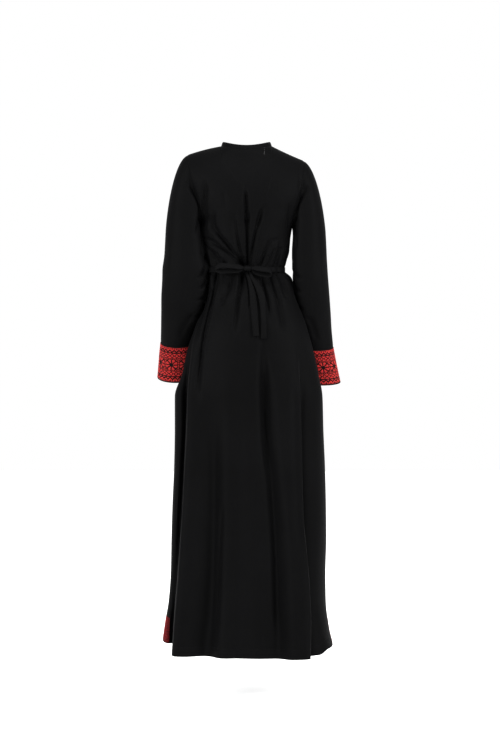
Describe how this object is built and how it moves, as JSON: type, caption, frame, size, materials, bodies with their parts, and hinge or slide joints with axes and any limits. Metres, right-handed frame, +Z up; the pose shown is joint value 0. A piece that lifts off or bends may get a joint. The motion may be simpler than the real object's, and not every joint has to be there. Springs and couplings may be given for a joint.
{
  "type": "palestinian thobe dress",
  "caption": "Long black thobe with long sleeves, hollow as worn, with red cross-stitch cuffs and hem gores and a narrow self belt tied in a bow at the back.",
  "frame": {"origin": "inside the neck opening at shoulder level, 1.50 m above the wearer's floor, where the wearer holds the dress up", "axes": "+Z up, -Y towards the back of the dress, +X towards the wearer's right"},
  "size_m": [0.5145, 0.4208, 1.4099],
  "materials": {
    "crepe": "matt black crepe",
    "belt": "matt black crepe, folded and pressed",
    "cuff_stitch": "red cross-stitch on black",
    "gore_stitch": "red cross-stitch on black"
  },
  "bodies": {
    "root": {"back": "crepe", "front": "crepe", "sleeve_left": "crepe", "sleeve_right": "crepe", "neck_band": "crepe", "belt_left": "belt", "belt_right": "belt", "knot": "belt", "loop_left": "belt", "loop_right": "belt", "tail_left": "belt", "tail_right": "belt", "cuff_left": "cuff_stitch", "cuff_right": "cuff_stitch", "gore_left": "gore_stitch", "gore_right": "gore_stitch"}
  },
  "joints": []
}
